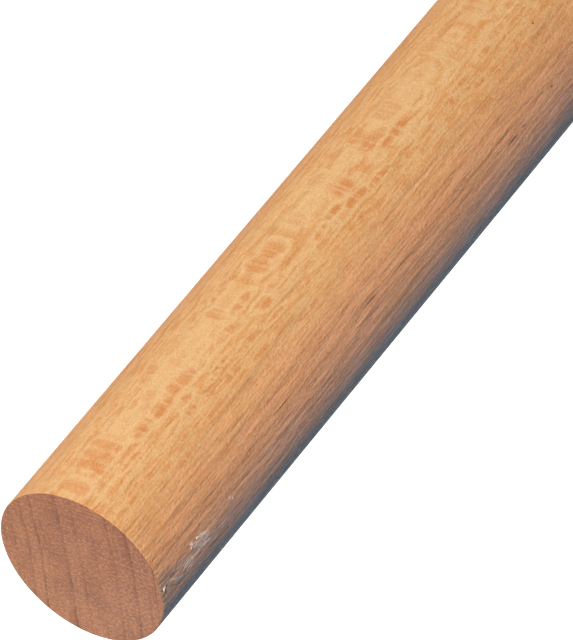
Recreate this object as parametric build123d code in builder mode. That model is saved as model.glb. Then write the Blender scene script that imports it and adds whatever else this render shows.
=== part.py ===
"""A beech dowel rod, rounded from a square stick by a dowel cutter and sawn off square.

It is one piece of wood. It stands on the sawn end called the foot, with its axis along +Z and
the centre of the foot at the origin. The saw broke through at the rim of the other end, the
head, and tore a patch of grain away there: slim splinters side by side, each deepest at the
head and shallower along the grain until it runs out. All lengths are in millimetres and all
angles in degrees.
"""

import os
from math import cos, degrees, radians, sin

from build123d import *

# The round stock
rod_diameter = 28.0
rod_length = 300.0

# The arrises: the foot's is eased with a pass of sandpaper, the head's is left nearly sharp
foot_arris = 0.4
head_arris = 0.2

# The torn grain: where its middle lies around the rim, counted from +X seen from above, how
# wide it is around the rim, and how deep its longest splinter goes into the wood
tear_angle = 218.0
tear_width = 5.0
tear_depth = 0.4

# How far along the grain each splinter runs from the head, in order around the rim
splinter_runs = [7.5, 12.0, 19.5, 15.5, 9.0, 5.0]

# Each splinter is this much wider than its share of the tear, so that two neighbours leave a
# sharp ridge between them, and its trough ends in a tip that is this share of its mouth
splinter_overlap = 0.3
tip_share = 0.15

# Half way along its run a trough still has this share of the size of its mouth
middle_share = 0.75

rod_radius = rod_diameter / 2
splinter_pitch = tear_width / len(splinter_runs)
splinter_half_width = splinter_pitch * (1 + splinter_overlap) / 2
longest_run = max(splinter_runs)


def splinter_angle(number):
    """The angle around the rim of the middle of one splinter."""
    steps_from_middle = number - (len(splinter_runs) - 1) / 2
    return tear_angle + degrees(steps_from_middle * splinter_pitch / rod_radius)


def trough_plane(number, height):
    """A level plane centred on the skin of the rod above one splinter, with x pointing out."""
    angle = radians(splinter_angle(number))
    outwards = Vector(cos(angle), sin(angle), 0)
    return Plane(
        origin=outwards * rod_radius + Vector(0, 0, height), x_dir=outwards, z_dir=(0, 0, 1)
    )


with BuildPart() as dowel_rod:
    # The round stock, standing on its foot, with the arris of each end eased
    with BuildSketch(Plane.XY):
        Circle(rod_radius)
    extrude(amount=rod_length)
    rims = dowel_rod.edges().filter_by(GeomType.CIRCLE).sort_by(Axis.Z)
    fillet(rims.first, radius=foot_arris)
    fillet(rims.last, radius=head_arris)

    # The torn grain. A trough has a half-round section whose middle lies on the skin, and is
    # lofted from its mouth in the head, past the middle of its run, to a fine tip in the skin.
    for number, run in enumerate(splinter_runs):
        mouth_depth = tear_depth * run / longest_run
        for share_of_run, share_of_mouth in ((0, 1), (0.5, middle_share), (1, tip_share)):
            with BuildSketch(trough_plane(number, rod_length - run * share_of_run)):
                Ellipse(mouth_depth * share_of_mouth, splinter_half_width * share_of_mouth)
        loft(mode=Mode.SUBTRACT)

dowel_rod.part.label = "dowel_rod"

os.makedirs("parts", exist_ok=True)
export_step(dowel_rod.part, "parts/dowel_rod.step")

print(f"volume {dowel_rod.part.volume / 1000:.2f} cm3, box {dowel_rod.part.bounding_box().size}")
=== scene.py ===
# %% [markdown]
# # A beech dowel rod
#
# A dowel rod is one piece of wood: a square stick run through a dowel cutter until it is
# round, then sawn to length. It has almost no form of its own, so what makes it look real lies
# in three places: the figure of the wood, the crisp edge where the saw left, and the small
# patch of grain that the saw tore out at one rim. This lesson pulls the rod up ring by ring
# with mesh operators, tears its rim, lifts a few loose fibres, and then grows the wood as a
# solid pattern, so that the rings on the sawn end and the flecks on the side belong to one
# tree.

# %% Load the frame
import math

import bmesh
import bpy
from mathutils import Matrix, Vector, noise


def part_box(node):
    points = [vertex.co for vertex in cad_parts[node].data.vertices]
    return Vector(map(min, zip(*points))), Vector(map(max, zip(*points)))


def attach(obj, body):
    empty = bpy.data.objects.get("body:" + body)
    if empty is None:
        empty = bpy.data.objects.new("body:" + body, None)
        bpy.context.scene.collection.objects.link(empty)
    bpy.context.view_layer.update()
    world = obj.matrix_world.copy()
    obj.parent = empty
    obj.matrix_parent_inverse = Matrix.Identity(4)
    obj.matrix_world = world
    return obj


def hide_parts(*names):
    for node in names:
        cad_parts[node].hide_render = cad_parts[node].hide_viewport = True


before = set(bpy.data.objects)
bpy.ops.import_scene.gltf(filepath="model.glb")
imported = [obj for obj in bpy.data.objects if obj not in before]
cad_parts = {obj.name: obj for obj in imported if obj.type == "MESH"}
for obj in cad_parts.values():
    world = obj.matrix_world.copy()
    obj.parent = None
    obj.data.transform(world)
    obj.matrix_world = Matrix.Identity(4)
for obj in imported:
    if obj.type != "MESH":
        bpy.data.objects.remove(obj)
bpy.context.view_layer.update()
MM = 0.001
low_corner, high_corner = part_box("dowel_rod")
rod_radius = (high_corner.x - low_corner.x) / 2
rod_length = high_corner.z - low_corner.z
print(f"rod: radius {rod_radius / MM:.2f} mm, length {rod_length / MM:.1f} mm")

# %% [markdown]
# ## The camera
#
# The rod is seen from above its sawn head and a little to one side, through a very long lens,
# so that its two sides stay almost parallel. The camera stands more than a metre away, looks
# at a point close to the rod's axis and below the head, and is rolled until the upright rod
# slants across the frame.

# %% Set up the camera
AIM_BELOW_HEAD = 56.85 * MM
AIM_ASIDE = 0.26 * MM
CAMERA_DISTANCE = 1.1294
CAMERA_ELEVATION = math.radians(35.34)
CAMERA_ROLL = math.radians(-140.11)
FOCAL_LENGTH = 427.7
NEAREST, FARTHEST = 0.05, 20

aim = Vector((AIM_ASIDE, 0, high_corner.z - AIM_BELOW_HEAD))
backwards = Vector((0, -math.cos(CAMERA_ELEVATION), math.sin(CAMERA_ELEVATION)))
lens = bpy.data.cameras.new("long_lens")
lens.lens = FOCAL_LENGTH
lens.clip_start, lens.clip_end = NEAREST, FARTHEST
camera = bpy.data.objects.new("camera", lens)
bpy.context.scene.collection.objects.link(camera)
camera.matrix_world = (
    Matrix.Translation(aim + backwards * CAMERA_DISTANCE)
    @ Matrix.Rotation(math.pi / 2 - CAMERA_ELEVATION, 4, "X")
    @ Matrix.Rotation(CAMERA_ROLL, 4, "Z")
)
bpy.context.scene.camera = camera
bpy.context.scene.view_settings.view_transform = "Standard"
print("camera at", [round(c, 4) for c in camera.matrix_world.translation])

# %% [markdown]
# ## The round stock
#
# A cylinder primitive has faces as long as the rod, and nothing can be torn or worn on those.
# Instead one circle is drawn and pulled upwards ring by ring. The rings are far apart along
# the plain shank and close together near the head, and the circle has more corners in the
# part of the rim where the grain is torn.

# %% Draw the circle, finer where the rim is torn
RIM_SEGMENTS = 180
TEAR_CUTS = 4
TEAR_ANGLE = math.radians(218)
FINE_REACH = math.radians(20)


def from_tear(point):
    """The angle round the axis from the middle of the tear to a point, from -pi to pi."""
    angle = math.atan2(point.y, point.x)
    return (angle - TEAR_ANGLE + math.pi) % (2 * math.pi) - math.pi


def draw_rim():
    """A mesh with one circle of edges, at the height of the foot."""
    mesh = bmesh.new()
    bmesh.ops.create_circle(mesh, segments=RIM_SEGMENTS, radius=rod_radius)
    near_tear = [
        edge
        for edge in mesh.edges
        if all(abs(from_tear(vert.co)) < FINE_REACH for vert in edge.verts)
    ]
    bmesh.ops.subdivide_edges(mesh, edges=near_tear, cuts=TEAR_CUTS)
    for vert in mesh.verts:
        vert.co *= rod_radius / vert.co.length
    return mesh


rod_mesh = draw_rim()
print("corners round the rim:", len(rod_mesh.verts))

# %% Pull the circle up, ring by ring
COARSE_STEP = 3.0 * MM
FINE_STEP = 0.22 * MM
FINE_LENGTH = 22 * MM


def ring_heights():
    """Heights of the rings above the foot, far apart on the shank and close near the head."""
    shank_length = rod_length - FINE_LENGTH
    coarse = round(shank_length / COARSE_STEP)
    fine = round(FINE_LENGTH / FINE_STEP)
    shank = [shank_length * k / coarse for k in range(1, coarse + 1)]
    head = [shank_length + FINE_LENGTH * k / fine for k in range(1, fine + 1)]
    return shank + head


def pull_up(mesh, heights):
    """Extrudes the ring of edges to each height in turn."""
    ring = list(mesh.edges)
    height = 0
    for next_height in heights:
        made = bmesh.ops.extrude_edge_only(mesh, edges=ring)["geom"]
        verts = [part for part in made if isinstance(part, bmesh.types.BMVert)]
        bmesh.ops.translate(mesh, verts=verts, vec=(0, 0, next_height - height))
        ring = [part for part in made if isinstance(part, bmesh.types.BMEdge)]
        height = next_height


pull_up(rod_mesh, ring_heights())
print("faces up the side:", len(rod_mesh.faces))

# %% Close the ends, ease their arrises and ring the sawn faces
FOOT_ARRIS = 0.4 * MM
HEAD_ARRIS = 0.2 * MM
ARRIS_SEGMENTS = 4
INSETS = (0.3 * MM, 0.5 * MM, 0.8 * MM, 1.2 * MM, 2.0 * MM)


def end_face(mesh, height):
    """The many-sided face that closes the rod at this height."""
    many_sided = [face for face in mesh.faces if len(face.verts) > 4]
    return min(many_sided, key=lambda face: abs(face.calc_center_median().z - height))


def close_end(mesh, height, arris):
    """Fills the open end, bevels its edge, and insets rings so that the rim can be torn."""
    ring = [edge for edge in mesh.edges if edge.is_boundary]
    ring = [edge for edge in ring if abs(edge.verts[0].co.z - height) < arris]
    bmesh.ops.contextual_create(mesh, geom=ring)
    bmesh.ops.bevel(
        mesh,
        geom=list(end_face(mesh, height).edges),
        affect="EDGES",
        offset=arris,
        segments=ARRIS_SEGMENTS,
        profile=0.5,
        material=-1,
    )
    face = end_face(mesh, height)
    for thickness in INSETS:
        bmesh.ops.inset_region(mesh, faces=[face], thickness=thickness)
        face = end_face(mesh, height)


close_end(rod_mesh, 0, FOOT_ARRIS)
close_end(rod_mesh, rod_length, HEAD_ARRIS)
bmesh.ops.recalc_face_normals(rod_mesh, faces=rod_mesh.faces)
print("faces with both ends closed:", len(rod_mesh.faces))

# %% [markdown]
# ## The torn grain
#
# A saw that breaks through at the rim pulls splinters off the round. Each one leaves a trough
# that is deepest at the sawn end and runs out along the grain. The troughs are the ones that
# the solid model has: their widths, depths and runs are repeated here. Real torn wood is
# ragged, so a noise that is long along the grain and short across it roughens the floor of
# each trough, and the lip around it stands a little proud. Splinters that broke off short leave
# shallower floors than the solid's, so the depth varies by patches too. How far each corner is
# torn is kept on the mesh as an attribute, which the wood's material reads.

# %% Measure the troughs
TEAR_WIDTH = 5.0 * MM
TEAR_DEPTH = 0.4 * MM
SPLINTER_RUNS = [7.5 * MM, 12.0 * MM, 19.5 * MM, 15.5 * MM, 9.0 * MM, 5.0 * MM]
SPLINTER_OVERLAP = 0.3
pitch = TEAR_WIDTH / len(SPLINTER_RUNS)
trough_half_width = pitch * (1 + SPLINTER_OVERLAP) / 2


def trough_size(share):
    """The share of its mouth's size that a trough keeps at a share of its run.

    It follows the solid's troughs, which keep 0.75 half way and 0.15 at the tip.
    """
    return 1 - 0.15 * share - 0.7 * share**2


def trough_depth(around, below):
    """Depth of the solid's troughs at a place round the rim from the tear's middle."""
    deepest = 0
    for number, run in enumerate(SPLINTER_RUNS):
        share = below / run
        if share >= 1:
            continue
        size = trough_size(share)
        middle = (number - (len(SPLINTER_RUNS) - 1) / 2) * pitch
        across = (around - middle) / (size * trough_half_width)
        if abs(across) < 1:
            mouth = TEAR_DEPTH * run / max(SPLINTER_RUNS)
            deepest = max(deepest, mouth * size * math.sqrt(1 - across**2))
    return deepest


print(f"the solid's deepest trough: {trough_depth(-pitch / 2, 0) / MM:.2f} mm")

# %% Tear the rim
# ragged patterns: their size across the grain and along it, and a seed that sets them apart
RIDGES = (0.45 * MM, 3.2 * MM, 7.0)
WANDER = (2.5 * MM, 9 * MM, 3.0)
PATCHES = (1.1 * MM, 4 * MM, 11.0)

# how far the troughs wander sideways, and how much their ridges add to their depth
WANDER_WIDTH = 0.5 * MM
RAGGEDNESS = 0.2

# the share of the solid's depth at the head and further on, and then patch by patch
DEPTH_AT_HEAD, DEPTH_FURTHER_ON = 0.7, 0.2
FADE_LENGTH = 13 * MM
PATCH_MIDDLE, PATCH_SWING, PATCH_LEAST = 0.55, 0.7, 0.15

# a lip rises where the tear would reach if it were 1 / 0.82 as wide and 1 / 0.86 as long
LIP_ACROSS, LIP_ALONG = 0.82, 0.86
LIP_HEIGHT = 0.02 * MM

# how far in from the skin the sawn face is torn too, and the depth that shows as fully torn
TEAR_REACH = 2.0 * MM
TORN_THROUGH = 0.12 * TEAR_DEPTH

# how smooth the fractal noise is, how much finer each octave is than the last, and how many
SMOOTHNESS, FINER, OCTAVES = 0.9, 2.1, 3


def ragged(around, below, across_size, along_size, seed):
    """Fractal noise about 0 that is fine across the grain and long along it."""
    place = Vector((around / across_size, below / along_size, seed))
    return noise.fractal(place, SMOOTHNESS, FINER, OCTAVES)


def tear(mesh):
    """Pushes the torn part of the rod inwards and keeps how torn each corner is."""
    torn_layer = mesh.verts.layers.float.new("torn")
    for vert in mesh.verts:
        below = rod_length - vert.co.z
        turned = from_tear(vert.co)
        from_axis = Vector((vert.co.x, vert.co.y)).length
        if abs(turned) > FINE_REACH or from_axis < rod_radius - TEAR_REACH:
            continue
        around = turned * rod_radius
        wandered = around + WANDER_WIDTH * ragged(around, below, *WANDER)
        patchy = PATCH_MIDDLE + PATCH_SWING * ragged(around, below, *PATCHES)
        further_on = min(1, below / FADE_LENGTH)
        fading = DEPTH_AT_HEAD + (DEPTH_FURTHER_ON - DEPTH_AT_HEAD) * further_on
        depth = trough_depth(wandered, below) * min(1, max(PATCH_LEAST, patchy)) * fading
        ridges = ragged(around, below, *RIDGES)
        near_tear = trough_depth(wandered * LIP_ACROSS, below * LIP_ALONG) > 0
        lip = LIP_HEIGHT * max(0, ridges) if near_tear and depth == 0 else 0
        inward = depth * (1 + RAGGEDNESS * ridges) - lip
        near_skin = min(1, (from_axis - rod_radius + TEAR_REACH) / TEAR_REACH)
        vert.co.xy *= 1 - inward * near_skin**2 / from_axis
        vert[torn_layer] = min(1, depth / TORN_THROUGH) * near_skin**8


tear(rod_mesh)
torn = rod_mesh.verts.layers.float["torn"]
print("torn corners:", sum(vert[torn] > 0 for vert in rod_mesh.verts))

# %% [markdown]
# ## Scuffs and splits
#
# The saw also rubbed the wood beside the tear. Where fibre ends were scuffed up they scatter the
# light and look pale, and that pale colour also paints the highlights the lifted ends catch;
# where the grain only parted there is a hairline, painted dark for the shade inside it. They
# could be painted on a picture, but the mesh is fine enough here to hold them itself: each is a
# short stroke on the unrolled skin, and each corner keeps how much of it the strokes cover. The
# scuffs then stand up a little and the splits lie in a little, so that both catch the light.

# %% Draw the strokes
# the angle round the rod in degrees and the millimetres below the head where a stroke
# starts, the same where it ends, then its half width in millimetres and how strong it is
SCUFFS = (
    (217.8, 0.7, 217.8, 0.8, 0.42, 0.8),
    (218.8, 1.2, 219.2, 2.3, 0.38, 0.4),
    (219.4, 2.3, 215.0, 3.6, 0.40, 0.38),
    (215.0, 3.6, 211.3, 5.4, 0.38, 0.35),
    (214.2, 5.9, 216.4, 10.0, 0.36, 0.5),
    (212.6, 7.0, 214.2, 11.2, 0.24, 0.35),
    (217.8, 4.6, 218.6, 8.2, 0.26, 0.3),
    (216.8, 10.6, 214.6, 12.6, 0.34, 0.8),
    (218.6, 10.2, 217.6, 13.4, 0.30, 0.4),
    (214.6, 12.6, 209.9, 14.4, 0.26, 0.5),
    (220.8, 9.5, 219.8, 12.8, 0.70, 0.50),
    (222.4, 9.0, 221.6, 11.6, 0.40, 0.45),
    (224.5, 8.5, 224.3, 9.1, 0.44, 1.0),
    (224.5, 10.8, 222.3, 12.2, 0.38, 1.0),
    (229.7, 16.6, 229.5, 16.9, 0.40, 0.5),
    (224.4, 19.0, 222.6, 19.8, 0.28, 0.7),
    (213.4, 16.0, 213.0, 18.4, 0.40, 0.3),
)
SPLITS = (
    (208.3, 12.6, 206.4, 17.6, 0.28, 0.7),
    (212.2, 6.0, 212.6, 10.0, 0.30, 0.6),
    (214.8, 18.0, 214.3, 21.8, 0.24, 0.6),
    (216.0, 1.6, 209.5, 4.2, 0.30, 0.5),
)


def on_skin(angle, below):
    """A place on the unrolled skin: round the rim from the tear's middle, and below the head."""
    return Vector(((math.radians(angle) - TEAR_ANGLE) * rod_radius, below * MM))


def stroke_cover(place, strokes):
    """How much of a place on the unrolled skin the strokes cover, from 0 to 1."""
    most = 0
    for start_angle, start_below, end_angle, end_below, half_width, strength in strokes:
        start, end = on_skin(start_angle, start_below), on_skin(end_angle, end_below)
        along = min(1, max(0, (place - start).dot(end - start) / (end - start).length_squared))
        away = (place - start.lerp(end, along)).length / (half_width * MM)
        most = max(most, strength * max(0, 1 - away**2))
    return most


print("strokes:", len(SCUFFS), "scuffs and", len(SPLITS), "splits")

# %% Scuff and split the wood
# how far a full scuff stands up and a full split lies in, and how far in from the skin the sawn
# face is marked too
SCUFF_HEIGHT = 0.07 * MM
SCUFF_REACH = 0.6 * MM

# the ragged pattern that frays the strokes, and how much it does
FRAY = (0.45 * MM, 3.2 * MM, 5.0)
FRAYING = 0.6


def scuff(mesh):
    """Keeps the scuffs and splits on the mesh, lifts the first and sinks the second."""
    scuffed, split = (mesh.verts.layers.float.new(name) for name in ("scuffed", "split"))
    for vert in mesh.verts:
        below = rod_length - vert.co.z
        turned = from_tear(vert.co)
        from_axis = Vector((vert.co.x, vert.co.y)).length
        if abs(turned) > FINE_REACH or below > FINE_LENGTH:
            continue
        if from_axis < rod_radius - SCUFF_REACH:
            continue
        place = Vector((turned * rod_radius, below))
        frayed = 1 + FRAYING * ragged(place.x, below, *FRAY)
        vert[scuffed] = min(1, frayed * stroke_cover(place, SCUFFS))
        vert[split] = min(1, frayed * stroke_cover(place, SPLITS))
        vert.co.xy *= 1 + SCUFF_HEIGHT * (vert[scuffed] - vert[split]) / from_axis


scuff(rod_mesh)
scuffed = rod_mesh.verts.layers.float["scuffed"]
print("scuffed corners:", sum(vert[scuffed] > 0 for vert in rod_mesh.verts))

# %% [markdown]
# ## A map for baking
#
# The wood is a solid pattern and needs no map to render. A model that leaves Blender carries
# its colours in a picture, though, and a rod unrolls neatly: its side is one strip, cut down
# the back, and its two ends are discs beside it. Laying that out keeps the grain
# sharp, because no part of the picture is wasted.

# %% Unroll the side and lay the ends beside it
# sizes and places are shares of the map's width and height
SIDE_SHARE = 0.78
MAP_MARGIN = 0.006
DISC_WIDTH = 0.195
DISC_HEIGHT = 0.33
SEAM_ANGLE = math.radians(80)
HEAD_DISC = (0.895, 0.75)
FOOT_DISC = (0.895, 0.3)

# a face that looks along the rod at least this squarely lies on a disc
DISC_FACING = 0.7


def place_on_map(face, vert):
    """Where one corner of a face lies on the map."""
    if abs(face.normal.z) > DISC_FACING:
        middle = HEAD_DISC if face.normal.z > 0 else FOOT_DISC
        across = vert.co.x / (2 * rod_radius) * DISC_WIDTH
        up = vert.co.y / (2 * rod_radius) * DISC_HEIGHT
        return middle[0] + across, middle[1] + up
    centre = face.calc_center_median()
    face_angle = (math.atan2(centre.y, centre.x) - SEAM_ANGLE) % (2 * math.pi)
    angle = math.atan2(vert.co.y, vert.co.x) - SEAM_ANGLE - face_angle
    angle = (angle + math.pi) % (2 * math.pi) - math.pi + face_angle
    across = MAP_MARGIN + (SIDE_SHARE - 2 * MAP_MARGIN) * angle / (2 * math.pi)
    return across, MAP_MARGIN + (1 - 2 * MAP_MARGIN) * vert.co.z / rod_length


def lay_out(mesh):
    """Writes the map that the wood can be baked onto."""
    layer = mesh.loops.layers.uv.new("OFBake")
    for face in mesh.faces:
        for corner in face.loops:
            corner[layer].uv = place_on_map(face, corner.vert)


lay_out(rod_mesh)
print("corners laid out on the map:", sum(len(face.loops) for face in rod_mesh.faces))

# %% Make it an object
def finish_piece(name, mesh):
    """Turns a bmesh into a smooth object that stays at the origin."""
    data = bpy.data.meshes.new(name)
    mesh.to_mesh(data)
    mesh.free()
    data.shade_smooth()
    piece = bpy.data.objects.new(name, data)
    bpy.context.scene.collection.objects.link(piece)
    return piece


rod = finish_piece("beech_rod", rod_mesh)
print("triangles in the rod:", sum(len(face.vertices) - 2 for face in rod.data.polygons))

# %% [markdown]
# ## Loose fibres
#
# Torn beech keeps some fibres by one end. They stand a little off the rod, pale because the
# light scatters in them. Hair curves would make a coat of them, but a tear has only a few, each
# in its own place, so they are drawn one by one: a five-sided ring is pulled along the grain in
# short steps, shrinking and bending away from the wood until it closes in a point. They lie so
# close to the skin that the solid model leaves them out.

# %% Pull out the fibres
FIBRE_SIDES = 5
FIBRE_STEPS = 7

# how deep the root's middle lies under the skin, as a share of the fibre's thickness, and the
# power of the bend, where 1 would keep the fibre straight
FIBRE_SUNK = 0.4
FIBRE_BEND = 1.7

# the share of its thickness that a fibre keeps at each step, and at the last one
FIBRE_TAPER, FIBRE_TIP = 0.9, 0.15


def fibre(mesh, angle, below, length, thickness, lift, drift):
    """One loose fibre: it starts below the head and bends outwards by lift, sideways by drift."""
    ring = bmesh.ops.create_circle(mesh, segments=FIBRE_SIDES, radius=thickness / 2)["verts"]
    outwards = Vector((math.cos(angle), math.sin(angle), 0))
    sideways = Vector((-math.sin(angle), math.cos(angle), 0))
    root = outwards * (rod_radius - FIBRE_SUNK * thickness) + Vector((0, 0, rod_length - below))
    bmesh.ops.translate(mesh, verts=ring, vec=root)
    edges = list({edge for vert in ring for edge in vert.link_edges})
    bmesh.ops.contextual_create(mesh, geom=edges)
    for step in range(1, FIBRE_STEPS + 1):
        share = step / FIBRE_STEPS
        made = bmesh.ops.extrude_edge_only(mesh, edges=edges)["geom"]
        ring = [part for part in made if isinstance(part, bmesh.types.BMVert)]
        edges = [part for part in made if isinstance(part, bmesh.types.BMEdge)]
        bent = share**FIBRE_BEND - ((step - 1) / FIBRE_STEPS) ** FIBRE_BEND
        move = Vector((0, 0, length / FIBRE_STEPS)) + outwards * lift * bent
        move += sideways * drift / FIBRE_STEPS
        bmesh.ops.translate(mesh, verts=ring, vec=move)
        middle = sum((vert.co for vert in ring), Vector()) / len(ring)
        shrink = FIBRE_TAPER if step < FIBRE_STEPS else FIBRE_TIP
        bmesh.ops.scale(
            mesh, verts=ring, vec=(shrink,) * 3, space=Matrix.Translation(-middle)
        )
    bmesh.ops.contextual_create(mesh, geom=edges)


# the angle round the rod in degrees, then in millimetres how far below the head the
# fibre starts, its length, its thickness, and how far it bends outwards and sideways
FIBRES = [
    (217.8, 1.1, 0.8, 0.68, 0.50, 0.00),
    (211.6, 5.3, 3.4, 0.14, 0.05, 1.90),
    (214.3, 9.9, 3.6, 0.13, 0.04, -0.45),
    (210.4, 14.2, 3.2, 0.20, 0.06, 1.40),
    (224.6, 9.4, 0.8, 0.46, 0.50, 0.10),
    (223.4, 9.0, 0.8, 0.32, 0.36, -0.14),
    (225.4, 9.0, 0.6, 0.26, 0.22, 0.06),
    (224.7, 11.1, 1.2, 0.36, 0.36, 0.05),
    (223.8, 11.4, 1.2, 0.30, 0.30, 0.18),
    (225.3, 10.7, 0.8, 0.26, 0.24, -0.08),
    (222.8, 12.5, 1.4, 0.28, 0.26, 0.25),
    (220.8, 20.0, 0.9, 0.52, 0.42, 1.30),
    (223.6, 19.6, 0.6, 0.44, 0.46, 0.50),
    (202.4, 12.8, 0.8, 0.28, 0.10, 0.05),
    (217.4, 8.6, 2.6, 0.22, 0.04, -0.25),
    (220.6, 6.2, 2.4, 0.22, 0.05, 0.20),
    (216.4, 14.6, 2.2, 0.20, 0.04, 0.30),
    (221.6, 11.6, 1.8, 0.24, 0.05, 0.20),
    (219.2, 12.8, 1.6, 0.22, 0.04, -0.15),
]
fibre_mesh = bmesh.new()
for angle, *lengths in FIBRES:
    fibre(fibre_mesh, math.radians(angle), *(length * MM for length in lengths))
bmesh.ops.recalc_face_normals(fibre_mesh, faces=fibre_mesh.faces)
fibres = finish_piece("lifted_fibres", fibre_mesh)
print("fibres:", len(FIBRES))

# %% [markdown]
# ## Steamed beech
#
# Beech is steamed after sawing, which turns its pale wood a warm pinkish tan. Its mark is the
# ray: thin sheets of cells that stand along the radius of the log. Cut across, they are short
# dark lines; cut along, they show as wide lustrous flecks. Here the wood is a solid pattern in
# the log's own coordinates, in millimetres: distance from the pith, arc round it, and height.
# The rod then cuts through it as the real one does, and the flecks come out wide where its
# skin runs along a ray and thin where it runs across.

# %% Helpers for materials
def linear(hex_colour):
    """A linear colour with alpha from an sRGB hex value such as E3AE76."""
    steps = [int(hex_colour[k : k + 2], 16) / 255 for k in (0, 2, 4)]
    return [s / 12.92 if s < 0.04045 else ((s + 0.055) / 1.055) ** 2.4 for s in steps] + [1]


def add(tree, kind, feeds=None, **options):
    """Adds a node, sets its options, and feeds its sockets with values or other sockets."""
    node = tree.nodes.new("ShaderNode" + kind)
    for name, value in options.items():
        setattr(node, name, value)
    for socket, value in (feeds or {}).items():
        if isinstance(value, bpy.types.NodeSocket):
            tree.links.new(value, node.inputs[socket])
        else:
            node.inputs[socket].default_value = value
    return node


def new_material(name):
    """An empty material with a Principled shader joined to its output."""
    material = bpy.data.materials.new(name)
    material.use_nodes = True
    tree = material.node_tree
    tree.nodes.clear()
    shader = add(tree, "BsdfPrincipled")
    add(tree, "OutputMaterial", {"Surface": shader.outputs[0]})
    return material, tree, shader


print("the grey 808080 is, in linear light,", round(linear("808080")[0], 3))

# %% Find a place in the log
PITH_DISTANCE = 200.0
PITH_DIRECTION = math.radians(33.0)

# how the log sways and its grain ripples: waves a millimetre, then millimetres, along the radius,
# round the pith and along the grain, and last how many octaves
LOG_SWAY = ((0.05, 0.05, 0.012), (1.6, 1.6, 0), 1)
GRAIN_RIPPLE = ((0.06, 0.26, 0.22), (0.3, 0.36, 0), 2)


def noise_shift(tree, place, waves, amount, octaves):
    """Moves a place by a smooth noise. amount is in millimetres."""
    slow = add(tree, "VectorMath", {0: place, 1: waves}, operation="MULTIPLY")
    sway = add(tree, "TexNoise", {"Vector": slow.outputs[0], "Scale": 1, "Detail": octaves})
    centred = add(
        tree, "VectorMath", {0: sway.outputs["Color"], 1: (0.5, 0.5, 0.5)}, operation="SUBTRACT"
    )
    return add(
        tree,
        "VectorMath",
        {0: centred.outputs[0], 1: amount, 2: place},
        operation="MULTIPLY_ADD",
    ).outputs[0]


def log_coordinates(tree):
    """Millimetres in the log: radius from the pith, arc round it, height."""
    in_log = add(
        tree,
        "Mapping",
        {
            "Vector": add(tree, "TexCoord").outputs["Object"],
            "Location": (PITH_DISTANCE, 0, 0),
            "Rotation": (0, 0, math.pi - PITH_DIRECTION),
            "Scale": (1 / MM, 1 / MM, 1 / MM),
        },
    ).outputs[0]
    swayed = noise_shift(tree, in_log, *LOG_SWAY)
    rippled = noise_shift(tree, swayed, *GRAIN_RIPPLE)
    flat = add(tree, "VectorMath", {0: rippled, 1: (1, 1, 0)}, operation="MULTIPLY")
    radius = add(tree, "VectorMath", {0: flat.outputs[0]}, operation="LENGTH")
    parts = add(tree, "SeparateXYZ", {0: rippled})
    turn = add(tree, "Math", {0: parts.outputs["Y"], 1: parts.outputs["X"]}, operation="ARCTAN2")
    arc = add(tree, "Math", {0: turn.outputs[0], 1: PITH_DISTANCE}, operation="MULTIPLY")
    return add(
        tree,
        "CombineXYZ",
        {"X": radius.outputs["Value"], "Y": arc.outputs[0], "Z": parts.outputs["Z"]},
    ).outputs[0]


print("millimetres from the pith to the rod's axis:", PITH_DISTANCE)

# %% [markdown]
# ### Rays and rings
#
# A ray is a spindle: tall along the grain, deep along the radius and very thin round the pith. A
# Voronoi texture scatters one in each of its cells, which is how they stand in the log, each at
# its own distance from the next. A broad ray has a paler halo, where the grain bends round it.
# Rings are made with a colour ramp over the distance from the pith, because each year's is as
# wide and dark as that year was. A wave texture would make them all alike.

# %% Grow the rays
# where a ray's colour and its halo start and are full, in its own half sizes from its middle
RAY_EDGE = (1.3, 0.6)
HALO_EDGE = (2.6, 0.7)

# spacing and half size in millimetres along the radius, round the pith and along the grain, and
# a shift that sets the layer apart. The broad rays of beech are 1 to 5 mm tall. Here they are
# taller, because paler bars are laid across them later and cut them into flecks of that size
BROAD_RAYS = ((24, 0.6, 5.6), (13, 0.18, 3.1), (0, 0, 0))
FINE_RAYS = ((11, 0.3, 3.4), (5.0, 0.045, 1.5), (31, 17, 5))

# the smallest ray as a share of that half size, and how much larger the largest is
LEAST_SIZE = (0.75, 0.5, 0.35)
SIZE_RANGE = (0.5, 1.0, 1.3)


def ray_layer(tree, grain, spacing, half_size, shift):
    """Spindle-shaped rays scattered through the log: their body, their halo and their tint."""
    apart = add(tree, "VectorMath", {0: grain, 1: shift}, operation="ADD").outputs[0]
    cells = add(tree, "VectorMath", {0: apart, 1: spacing}, operation="DIVIDE").outputs[0]
    voronoi = add(tree, "TexVoronoi", {"Vector": cells, "Scale": 1, "Randomness": 0.9})
    away = add(
        tree, "VectorMath", {0: cells, 1: voronoi.outputs["Position"]}, operation="SUBTRACT"
    )
    away_mm = add(tree, "VectorMath", {0: away.outputs[0], 1: spacing}, operation="MULTIPLY")
    size_noise = add(
        tree,
        "VectorMath",
        {0: voronoi.outputs["Color"], 1: SIZE_RANGE, 2: LEAST_SIZE},
        operation="MULTIPLY_ADD",
    )
    size = add(
        tree, "VectorMath", {0: size_noise.outputs[0], 1: half_size}, operation="MULTIPLY"
    )
    inside = add(
        tree, "VectorMath", {0: away_mm.outputs[0], 1: size.outputs[0]}, operation="DIVIDE"
    )
    reach = add(tree, "VectorMath", {0: inside.outputs[0]}, operation="LENGTH")
    body, halo = (
        add(
            tree,
            "MapRange",
            {"Value": reach.outputs["Value"], "From Min": starts, "From Max": full},
            interpolation_type="SMOOTHSTEP",
        )
        for starts, full in (RAY_EDGE, HALO_EDGE)
    )
    tint = add(tree, "SeparateColor", {0: voronoi.outputs["Color"]})
    return body.outputs[0], halo.outputs[0], tint.outputs[0]


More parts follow.
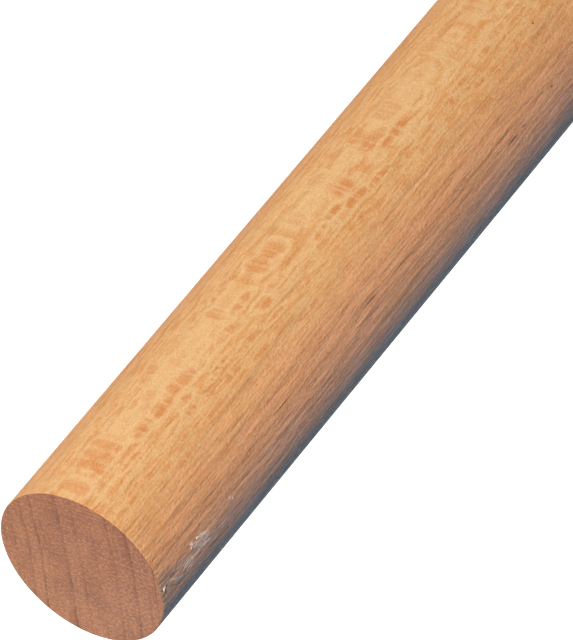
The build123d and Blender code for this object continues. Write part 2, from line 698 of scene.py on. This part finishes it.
longest = 2 * BROAD_RAYS[1][2] * (LEAST_SIZE[2] + SIZE_RANGE[2])
print(f"the longest broad ray, before it is barred: about {longest:.0f} mm")

# %% Lay down the growth rings
# where each ring ends, in millimetres from the rod's axis, and how dark its late wood is, then
# where the first one starts and the last one ends, both outside the rod
RINGS = (
    (-13.2, 0.4), (-11.6, 0.3), (-9.2, 0.45), (-7.2, 1.0), (-2.4, 0.5), (0.2, 0.35),
    (3.1, 0.15), (6.0, 0.35), (9.2, 0.5), (11.6, 0.4), (12.8, 0.95),
)
RINGS_START, RINGS_END = -15.2, 16.0
LATE_WOOD_POWER = 6
RING_LINE = 0.12


def growth_rings(tree, grain):
    """How dark the late wood is: it deepens towards each ring's edge and then stops."""
    radius = add(tree, "SeparateXYZ", {0: grain}).outputs["X"]
    start, end = PITH_DISTANCE + RINGS_START, PITH_DISTANCE + RINGS_END
    across = add(tree, "MapRange", {"Value": radius, "From Min": start, "From Max": end})
    ramp = add(tree, "ValToRGB", {0: across.outputs[0]})
    stops = ramp.color_ramp.elements
    for edge, strength in RINGS:
        for offset, age in ((0, strength ** (1 / LATE_WOOD_POWER)), (RING_LINE, 0)):
            stop = stops.new((edge + offset - RINGS_START) / (RINGS_END - RINGS_START))
            stop.color = (age, age, age, 1)
    return add(
        tree, "Math", {0: ramp.outputs[0], 1: LATE_WOOD_POWER}, operation="POWER"
    ).outputs[0]


ring_ends = [edge for edge, strength in RINGS]
ring_widths = [round(after - before, 1) for before, after in zip(ring_ends, ring_ends[1:])]
print("rings across the rod: from", min(ring_widths), "to", max(ring_widths), "mm wide")

# %% [markdown]
# ### Fine grain and marks
#
# Between the rays the wood is all fibres and vessels. Each of them is a noise in the log's
# coordinates, stretched along the grain, so that it follows the sway of the log and is cut by
# the skin like everything else. A sawn end shows the same cells end on, with sawdust packed into
# them, and is darker towards one side. The mesh brings what the strokes
# left on it.

# %% List the small patterns
# how fine each pattern is, in waves a millimetre along the radius, round the arc and along the
# grain, then how many octaves it has and how rough they are. The vessels and pores of beech are
# under 0.1 mm wide and its fibres thinner still, which is too fine to show, so all three are
# drawn coarser, from 0.3 to 0.6 mm wide
SMALL_PATTERNS = {
    "fibres": ((2.4, 3.2, 0.24), 3, 0.45),
    "bundles": ((0.9, 1.2, 0.13), 2, 0.35),
    "vessels": ((3.4, 3.4, 0.17), 2, 0.6),
    "specks": ((3.0, 3.0, 2.0), 3, 0.7),
    "clouds": ((0.14, 0.2, 0.03), 3, 0.6),
    "bars": ((0.03, 0.5, 0.8), 1, 0.6),
    "pores": ((1.7, 2.1, 0.1), 2, 0.7),
    "sawdust": ((2.0, 2.8, 2.0), 2, 0.6),
    "end_clouds": ((0.3, 0.14, 0.1), 2, 0.6),
    "strands": ((2.2, 2.6, 0.16), 2, 0.6),
    "streaks": ((2.2, 1.8, 0.14), 3, 0.65),
}

# dark checks in the side, darker ray ends with painted shade for their cracks: angle round the
# rod, distance below the head, half length, half width
CHECKS = (
    (232.6, 101.4, 1.5, 0.15), (233.2, 104.6, 0.5, 0.1), (235.8, 113.6, 0.3, 0.17),
    (271.8, 118.7, 0.22, 0.17), (238.0, 61.0, 1.6, 0.08), (239.0, 36.0, 2.2, 0.08),
)

# where a check starts and is full, in its own half sizes from its middle
CHECK_EDGE = (1.3, 0.5)
print("small patterns:", len(SMALL_PATTERNS), "and checks:", len(CHECKS))


# %% Crack the side with a few checks
def checks(tree):
    """1 in the few fine dark checks of the side, which are darker ray ends with painted shade for
    their cracks.
    """
    place = add(tree, "TexCoord").outputs["Object"]
    nearest = 0.0
    for turned, below, half_length, half_width in CHECKS:
        turn = math.radians(turned)
        skin = (rod_radius * math.cos(turn), rod_radius * math.sin(turn), rod_length - below * MM)
        size = (half_width * MM, half_width * MM, half_length * MM)
        away = add(tree, "VectorMath", {0: place, 1: skin}, operation="SUBTRACT")
        reach = add(tree, "VectorMath", {0: away.outputs[0], 1: size}, operation="DIVIDE")
        reach = add(tree, "VectorMath", {0: reach.outputs[0]}, operation="LENGTH")
        inside = add(
            tree,
            "MapRange",
            {
                "Value": reach.outputs["Value"],
                "From Min": CHECK_EDGE[0],
                "From Max": CHECK_EDGE[1],
            },
        )
        nearest = add(
            tree, "Math", {0: inside.outputs[0], 1: nearest}, operation="MAXIMUM"
        ).outputs[0]
    return nearest


# %% Mark the broad rays and find which way the skin faces
RAY_DARKNESS = (0.35, 0.9)
BAR_EDGE = (0.4, 0.52)
BAR_LEAST = 0.45


def barred_rays(tree, grain, bars):
    """Broad rays, some darker than others and with paler bars across them, and their halos."""
    broad, halos, tint = ray_layer(tree, grain, *BROAD_RAYS)
    darkness = add(
        tree, "MapRange", {"Value": tint, "To Min": RAY_DARKNESS[0], "To Max": RAY_DARKNESS[1]}
    )
    paler = add(
        tree,
        "MapRange",
        {"Value": bars, "From Min": BAR_EDGE[0], "From Max": BAR_EDGE[1], "To Min": BAR_LEAST},
    )
    for share in (darkness, paler):
        broad = add(tree, "Math", {0: broad, 1: share.outputs[0]}, operation="MULTIPLY").outputs[0]
    return broad, halos


def facing(tree, direction):
    """1 where the surface looks along a direction, either way, and 0 where it looks across."""
    normal = add(tree, "TexCoord").outputs["Normal"]
    share = add(tree, "VectorMath", {0: normal, 1: direction}, operation="DOT_PRODUCT")
    return add(tree, "Math", {0: share.outputs["Value"]}, operation="ABSOLUTE").outputs[0]


# %% Gather every pattern
# where the skin starts to look across the rings and wholly does, and how plain each pattern is
# before and after: the skin cuts the rays thin there, so they are fainter, and shows the dark
# streaks of the late wood more plainly
ACROSS_EDGE = (0.25, 0.85)
PLAIN_BY_CUT = (("broad_rays", 1.0, 0.5), ("halos", 1.0, 0.3), ("streaks", 0.2, 1.0))
STREAK_EDGE = (0.5, 0.7)

# the rings on an end are plain to see in some places and not in others
RINGS_SEEN_EDGE = (0.42, 0.56)
RINGS_LEAST = 0.5

# the sawn end is darker towards this side of the rod
DARKER_SIDE = math.radians(290)

# a scuff is a felt of short fibre ends, so it is broken up by the specks
FELT_EDGE = (0.42, 0.58)
FELT_LEAST = 0.35


def wood_patterns(tree):
    """Every pattern of the wood by its name, as a socket that mostly runs from 0 to 1."""
    grain = log_coordinates(tree)
    patterns = {"rings": growth_rings(tree, grain), "checks": checks(tree)}
    for name, (waves, octaves, roughness) in SMALL_PATTERNS.items():
        place = add(tree, "VectorMath", {0: grain, 1: waves}, operation="MULTIPLY").outputs[0]
        feeds = {"Vector": place, "Scale": 1, "Detail": octaves, "Roughness": roughness}
        patterns[name] = add(tree, "TexNoise", feeds).outputs[0]
    patterns["broad_rays"], patterns["halos"] = barred_rays(tree, grain, patterns["bars"])
    patterns["fine_rays"], _, _ = ray_layer(tree, grain, *FINE_RAYS)

    patterns["on_end"] = facing(tree, (0, 0, 1))
    pith = (math.cos(PITH_DIRECTION), math.sin(PITH_DIRECTION), 0)
    # where the skin looks across the rings; the same mask also lays the painted light of the first
    # side coat
    patterns["across_rings_and_painted_light"] = facing(tree, pith)

    feeds = {"From Min": STREAK_EDGE[0], "From Max": STREAK_EDGE[1]}
    dark = add(tree, "MapRange", {"Value": patterns["streaks"], **feeds})
    patterns["streaks"] = dark.outputs[0]
    for name, before, after in PLAIN_BY_CUT:
        feeds = {"From Min": ACROSS_EDGE[0], "From Max": ACROSS_EDGE[1]}
        feeds |= {"Value": patterns["across_rings_and_painted_light"], "To Min": before, "To Max": after}
        plain = add(tree, "MapRange", feeds).outputs[0]
        patterns[name] = add(
            tree, "Math", {0: patterns[name], 1: plain}, operation="MULTIPLY"
        ).outputs[0]

    # how far a place lies towards the side where the sawn end is darker
    towards = (math.cos(DARKER_SIDE) / rod_radius, math.sin(DARKER_SIDE) / rod_radius, 0)
    place = add(tree, "TexCoord").outputs["Object"]
    towards_darker_side = add(tree, "VectorMath", {0: place, 1: towards}, operation="DOT_PRODUCT")
    patterns["towards_darker_side"] = towards_darker_side.outputs["Value"]

    for name in ("torn", "scuffed", "split"):
        patterns[name] = add(tree, "Attribute", attribute_name=name).outputs["Fac"]

    for name, whole, breaker, edge, least in (
        ("broken_rings", "rings", "end_clouds", RINGS_SEEN_EDGE, RINGS_LEAST),
        ("scuffed", "scuffed", "specks", FELT_EDGE, FELT_LEAST),
    ):
        feeds = {"From Min": edge[0], "From Max": edge[1], "To Min": least}
        share = add(tree, "MapRange", {"Value": patterns[breaker], **feeds}).outputs[0]
        patterns[name] = add(
            tree, "Math", {0: patterns[whole], 1: share}, operation="MULTIPLY"
        ).outputs[0]
    return patterns


# %% [markdown]
# ### Coats of colour
#
# The patterns only say where something is. Colour is laid over the pale wood in coats, one for
# each pattern, the way a grainer paints wood: broad shades first, then rays, then fine marks. The
# sawn end and the torn floor have their own coats, and a last few join the three. A table of
# coats is easier to tune than a web of nodes, because each line is one thing that can be seen.
#
# Raised grain is what makes the wood look like wood where the light grazes it: the fibres of a
# dowel swell after it has been cut, and stand off the skin by up to a tenth of a millimetre. A
# bump does that without more mesh. The saw left the end flatter.

# %% Choose the coats and the relief
# each coat is a pattern, the value where the coat starts, the value where it is full, its share
# there, and its colour, and it lies over the ones before it
PALE_WOOD = "ECB373"
SIDE_COATS = (
    # partly painted light: the first coat is brighter and redder where the skin looks across the
    # rings, which takes in the shaded side, so it is partly the warmer tone of that cut and partly
    # the red glow that light makes under the skin near the shade
    ("across_rings_and_painted_light", 0.5, 0.95, 0.95, "FFB38C"),
    ("fibres", 0.3, 0.7, 0.3, "D48A54"),
    ("bundles", 0.3, 0.7, 0.3, "DC9458"),
    ("clouds", 0.35, 0.7, 0.4, "DE9456"),
    ("streaks", 0.0, 1.0, 0.52, "8A5240"),
    ("rings", 0.0, 1.0, 0.65, "96552F"),
    ("vessels", 0.52, 0.66, 0.17, "B8703E"),
    ("halos", 0.0, 1.0, 0.7, "F0CA94"),
    ("fine_rays", 0.0, 1.0, 0.45, "D58748"),
    ("broad_rays", 0.0, 1.0, 1.0, "D78444"),
    ("specks", 0.5, 0.72, 0.3, "FFDCA8"),
    ("specks", 0.5, 0.28, 0.25, "BC7038"),
    # the checks' near-black is partly darker ray ends and partly painted shade in the cracks
    ("checks", 0.0, 1.0, 0.8, "4A2A22"),
)
SAWN_END = "C38A68"
END_COATS = (
    ("pores", 0.32, 0.68, 0.4, "734637"),
    ("end_clouds", 0.3, 0.7, 0.4, "734637"),
    # darker towards one side of the end
    ("towards_darker_side", -0.9, 1.0, 0.48, "8A5144"),
    ("fine_rays", 0.0, 1.0, 0.42, "D68E58"),
    ("broad_rays", 0.0, 1.0, 0.35, "C8824E"),
    ("sawdust", 0.5, 0.72, 0.36, "EEB07C"),
    ("sawdust", 0.5, 0.28, 0.34, "70402E"),
    ("broken_rings", 0.0, 1.0, 1.0, "55302A"),
)
# the torn floor's darker ground is partly painted shade of its ragged grooves, and its pale
# strands partly painted light on the ridges, over the fresh wood's own tone
TORN_WOOD_AND_SHADE = "A8805F"
TORN_COATS = (("strands", 0.42, 0.64, 0.8, "D0AE8C"),)

# how squarely a face looks along the rod where it starts to count as sawn, and wholly does
END_EDGE = (0.55, 0.8)
# painted shade: the dark colour of the splits stands for the shade inside the hairline cracks
SPLIT_SHADE = "6E4A3C"
# partly painted highlight: the scuffs' near-white is the pale fibre ends and also the light that
# the lifted ends catch
SCUFFED_WOOD_AND_HIGHLIGHT = "FFE4C6"

# how far each pattern stands off the skin, in millimetres from its least to its most, and the
# share of that on a sawn end
RELIEF = (("fibres", 0.035), ("bundles", 0.27), ("specks", 0.16), ("streaks", -0.04))
END_RELIEF = 0.12

# roughness: satin, from between the fibres to on them, and dull where it is sawn
BETWEEN_FIBRES, ON_FIBRES = 0.3, 0.7
SATIN = (0.6, 0.72)
DULL = 0.85


def coated(tree, patterns, ground, coats):
    """Lays coats of colour over a ground colour and returns what shows.

    A Mix node has its factor in socket 0, and its colours in sockets 6 and 7 and output 2.
    """
    for name, start, full, share, colour in coats:
        feeds = {"Value": patterns[name], "From Min": start, "From Max": full, "To Max": share}
        cover = add(tree, "MapRange", feeds).outputs[0]
        if isinstance(colour, str):
            colour = linear(colour)
        ground = add(tree, "Mix", {0: cover, 6: ground, 7: colour}, data_type="RGBA").outputs[2]
    return ground


print("coats on the side:", len(SIDE_COATS), "and on the end:", len(END_COATS))


# %% Put the wood together
def steamed_beech():
    """Steamed beech, sanded but not finished: a soft satin side and a dull sawn end."""
    material, tree, shader = new_material("steamed_beech")
    patterns = wood_patterns(tree)
    side = coated(tree, patterns, linear(PALE_WOOD), SIDE_COATS)
    end = coated(tree, patterns, linear(SAWN_END), END_COATS)
    torn = coated(tree, patterns, linear(TORN_WOOD_AND_SHADE), TORN_COATS)
    covers = (
        ("on_end", *END_EDGE, 1.0, end),
        # partly painted shade and light of the ragged torn floor
        ("torn", 0.0, 1.0, 0.6, torn),
        # the split coat is painted shade
        ("split", 0.0, 1.0, 0.8, SPLIT_SHADE),
        # the scuff coat is partly a painted highlight
        ("scuffed", 0.0, 1.0, 0.95, SCUFFED_WOOD_AND_HIGHLIGHT),
    )
    tree.links.new(coated(tree, patterns, side, covers), shader.inputs["Base Color"])

    feeds = {"From Min": BETWEEN_FIBRES, "From Max": ON_FIBRES}
    feeds |= {"Value": patterns["fibres"], "To Min": SATIN[0], "To Max": SATIN[1]}
    satin = add(tree, "MapRange", feeds)
    feeds = {"Value": patterns["on_end"], "From Min": END_EDGE[0], "From Max": END_EDGE[1]}
    sawn = add(tree, "MapRange", feeds).outputs[0]
    rough = add(tree, "Mix", {0: sawn, 2: satin.outputs[0], 3: DULL}, data_type="FLOAT")
    tree.links.new(rough.outputs[0], shader.inputs["Roughness"])
    shader.inputs["IOR"].default_value = 1.5
    shader.inputs["Specular IOR Level"].default_value = 0.1
    shader.inputs["Diffuse Roughness"].default_value = 0.1

    height = 0.0
    for name, most in RELIEF:
        feeds = {0: patterns[name], 1: most, 2: height}
        height = add(tree, "Math", feeds, operation="MULTIPLY_ADD").outputs[0]
    strength = add(tree, "MapRange", {"Value": sawn, "To Min": 1.0, "To Max": END_RELIEF})
    bump = add(tree, "Bump", {"Height": height, "Strength": strength.outputs[0], "Distance": MM})
    tree.links.new(bump.outputs[0], shader.inputs["Normal"])
    return material


beech = steamed_beech()
rod.data.materials.append(beech)
print("nodes in the beech:", len(beech.node_tree.nodes))


# %% Give the loose fibres their own wood
# waves a metre across the grain and along it: strands about 0.2 mm wide and 2 mm long
STRAND_WAVES = (6000, 6000, 500)
FIBRE_SHADE, FIBRE_LIGHT = "DCBC98", "FBEEDC"


def torn_fibre():
    """Fresh beech fibre: paler and duller than the skin, because nothing has rubbed it yet."""
    material, tree, shader = new_material("torn_beech_fibre")
    place = add(tree, "TexCoord").outputs["Object"]
    along = add(tree, "VectorMath", {0: place, 1: STRAND_WAVES}, operation="MULTIPLY")
    strands = add(tree, "TexNoise", {"Vector": along.outputs[0], "Scale": 1, "Detail": 2})
    ramp = add(tree, "ValToRGB", {0: strands.outputs[0]})
    for stop, colour in zip(ramp.color_ramp.elements, (FIBRE_SHADE, FIBRE_LIGHT)):
        stop.color = linear(colour)
    tree.links.new(ramp.outputs[0], shader.inputs["Base Color"])
    shader.inputs["Roughness"].default_value = 0.8
    shader.inputs["Specular IOR Level"].default_value = 0.2
    return material


fibres.data.materials.append(torn_fibre())
print("materials:", [piece.data.materials[0].name for piece in (rod, fibres)])

# %% [markdown]
# ## Floor, backdrop and light
#
# The rod stands on a plain white floor that runs out into a white world. The lamps light the
# wood no more than its written colours ask for: a key from the front, a weaker one at the side
# and one behind, and a slim cool strip that tints the shaded side and stops short of the
# floor. The white is in the floor and the world instead, and only for the rays that show a
# background: the camera's, and those that gloss and glass send on. Every other ray meets a dim
# room.

# %% Floor
FLOOR_SIZE = 40.0
floor_mesh = bmesh.new()
bmesh.ops.create_grid(floor_mesh, x_segments=2, y_segments=2, size=FLOOR_SIZE / 2)
floor = finish_piece("floor", floor_mesh)
print("floor, metres across:", FLOOR_SIZE)


# %% Tell the rays that show the background from the rest
def seen_rays(tree):
    """1 for the rays that show the background: the camera's, and those of gloss and glass."""
    path = add(tree, "LightPath")
    mirrored = add(
        tree,
        "Math",
        {0: path.outputs["Is Glossy Ray"], 1: path.outputs["Is Transmission Ray"]},
        operation="MAXIMUM",
    )
    return add(
        tree,
        "Math",
        {0: path.outputs["Is Camera Ray"], 1: mirrored.outputs[0]},
        operation="MAXIMUM",
    ).outputs[0]


# %% Lay the paper
# what the background's rays meet, and what all others do, so that little light is thrown back
PAPER_SEEN, PAPER_UNSEEN = "D8D8D8", "303030"

# how white the paper glows for those rays, at shares of the reach from the rod: least near the
# rod, so that its shadow stays, and plain white from the reach outwards
GLOW_REACH = 1.4
GLOW_STOPS = ((0.0, 0.12), (0.15, 0.6), (1.0, 1.0))


def white_paper():
    """Matt white paper that shows plain white away from the rod and keeps the rod's shadow."""
    material, tree, shader = new_material("white_paper")
    seen = seen_rays(tree)
    shades = {6: linear(PAPER_UNSEEN), 7: linear(PAPER_SEEN)}
    paper = add(tree, "Mix", {0: seen, **shades}, data_type="RGBA")
    tree.links.new(paper.outputs[2], shader.inputs["Base Color"])
    shader.inputs["Roughness"].default_value = 1.0
    shader.inputs["Specular IOR Level"].default_value = 0.0
    place = add(tree, "TexCoord").outputs["Object"]
    away = add(tree, "VectorMath", {0: place}, operation="LENGTH")
    share = add(tree, "MapRange", {"Value": away.outputs["Value"], "From Max": GLOW_REACH})
    white = add(tree, "ValToRGB", {0: share.outputs[0]})
    stops = white.color_ramp.elements
    stops.new(GLOW_STOPS[1][0])
    for stop, (position, level) in zip(stops, GLOW_STOPS):
        stop.position = position
        stop.color = (level, level, level, 1)
    glow = add(tree, "Math", {0: white.outputs[0], 1: seen}, operation="MULTIPLY")
    shader.inputs["Emission Color"].default_value = (1, 1, 1, 1)
    tree.links.new(glow.outputs[0], shader.inputs["Emission Strength"])
    return material


floor.data.materials.append(white_paper())
print("the paper is plain white from", GLOW_REACH, "m")

# %% World
WORLD_STRENGTH = 0.025
WORLD_COLOUR = (0.6, 0.85, 1.0, 1)
world = bpy.data.worlds.new("white_studio")
bpy.context.scene.world = world
world.use_nodes = True
sky = world.node_tree
sky.nodes.clear()
soft = add(sky, "Background", {"Color": WORLD_COLOUR, "Strength": WORLD_STRENGTH})
plain = add(sky, "Background", {"Color": (1, 1, 1, 1), "Strength": 1.0})
shown = add(sky, "MixShader", {0: seen_rays(sky), 1: soft.outputs[0], 2: plain.outputs[0]})
add(sky, "OutputWorld", {"Surface": shown.outputs[0]})
print("the room's light on the wood:", WORLD_STRENGTH)

# %% Lamps
LAMP_AIM = Vector((0, 0, 0.2))

# the watts that make white paper just white from a metre away
POWER_FOR_WHITE = 9.9

# direction round the rod from +X and elevation in degrees, distance and size in metres, level
# and colour
WARM = (1.0, 0.97, 0.92)
LAMPS = {
    "key": (-72, 34, 1.3, 0.2, 1.07, (1.0, 1.0, 1.0)),
    "side": (22, 20, 1.5, 0.7, 0.38, WARM),
    "back": (91, 22, 1.5, 0.6, 0.9, WARM),
}


def soft_lamp(name, azimuth, elevation, distance, size, level, colour):
    """A square lamp that is aimed at the upper part of the rod.

    A level of 1 makes white paper that faces the lamp just white.
    """
    data = bpy.data.lights.new(name, "AREA")
    data.energy = POWER_FOR_WHITE * level * distance**2
    data.size, data.color = size, colour
    lamp = bpy.data.objects.new(name, data)
    bpy.context.scene.collection.objects.link(lamp)
    turn, tilt = math.radians(azimuth), math.radians(elevation)
    outwards = Vector(
        (math.cos(turn) * math.cos(tilt), math.sin(turn) * math.cos(tilt), math.sin(tilt))
    )
    lamp.location = LAMP_AIM + outwards * distance
    lamp.rotation_euler = outwards.to_track_quat("Z", "Y").to_euler()
    lamp.visible_camera = False


for name, settings in LAMPS.items():
    soft_lamp(name, *settings)
print("lamps:", list(LAMPS))

# %% A slim cool strip close beside the shaded side
STRIP_AZIMUTH = math.radians(185)
STRIP_FROM_AXIS = 0.03
STRIP_FOOT, STRIP_LENGTH, STRIP_WIDTH = 0.03, 0.37, 0.012
STRIP_POWER = 0.024
STRIP_COLOUR = (0.0, 0.3, 1.0)
strip = bpy.data.lights.new("cool_strip", "AREA")
strip.shape = "RECTANGLE"
strip.size, strip.size_y = STRIP_WIDTH, STRIP_LENGTH
strip.energy, strip.color = STRIP_POWER, STRIP_COLOUR
strip_lamp = bpy.data.objects.new("cool_strip", strip)
bpy.context.scene.collection.objects.link(strip_lamp)
strip_side = Vector((math.cos(STRIP_AZIMUTH), math.sin(STRIP_AZIMUTH), 0))
strip_lamp.location = strip_side * STRIP_FROM_AXIS
strip_lamp.location.z = STRIP_FOOT + STRIP_LENGTH / 2
strip_lamp.rotation_euler = strip_side.to_track_quat("Z", "Y").to_euler()
strip_lamp.visible_camera = False
print("cool strip from", STRIP_FOOT, "to", STRIP_FOOT + STRIP_LENGTH, "m above the floor")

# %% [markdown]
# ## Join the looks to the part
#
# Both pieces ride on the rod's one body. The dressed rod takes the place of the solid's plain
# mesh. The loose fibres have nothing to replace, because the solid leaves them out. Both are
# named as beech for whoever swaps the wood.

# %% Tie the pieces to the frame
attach(rod, "root")
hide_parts("dowel_rod")
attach(fibres, "root")
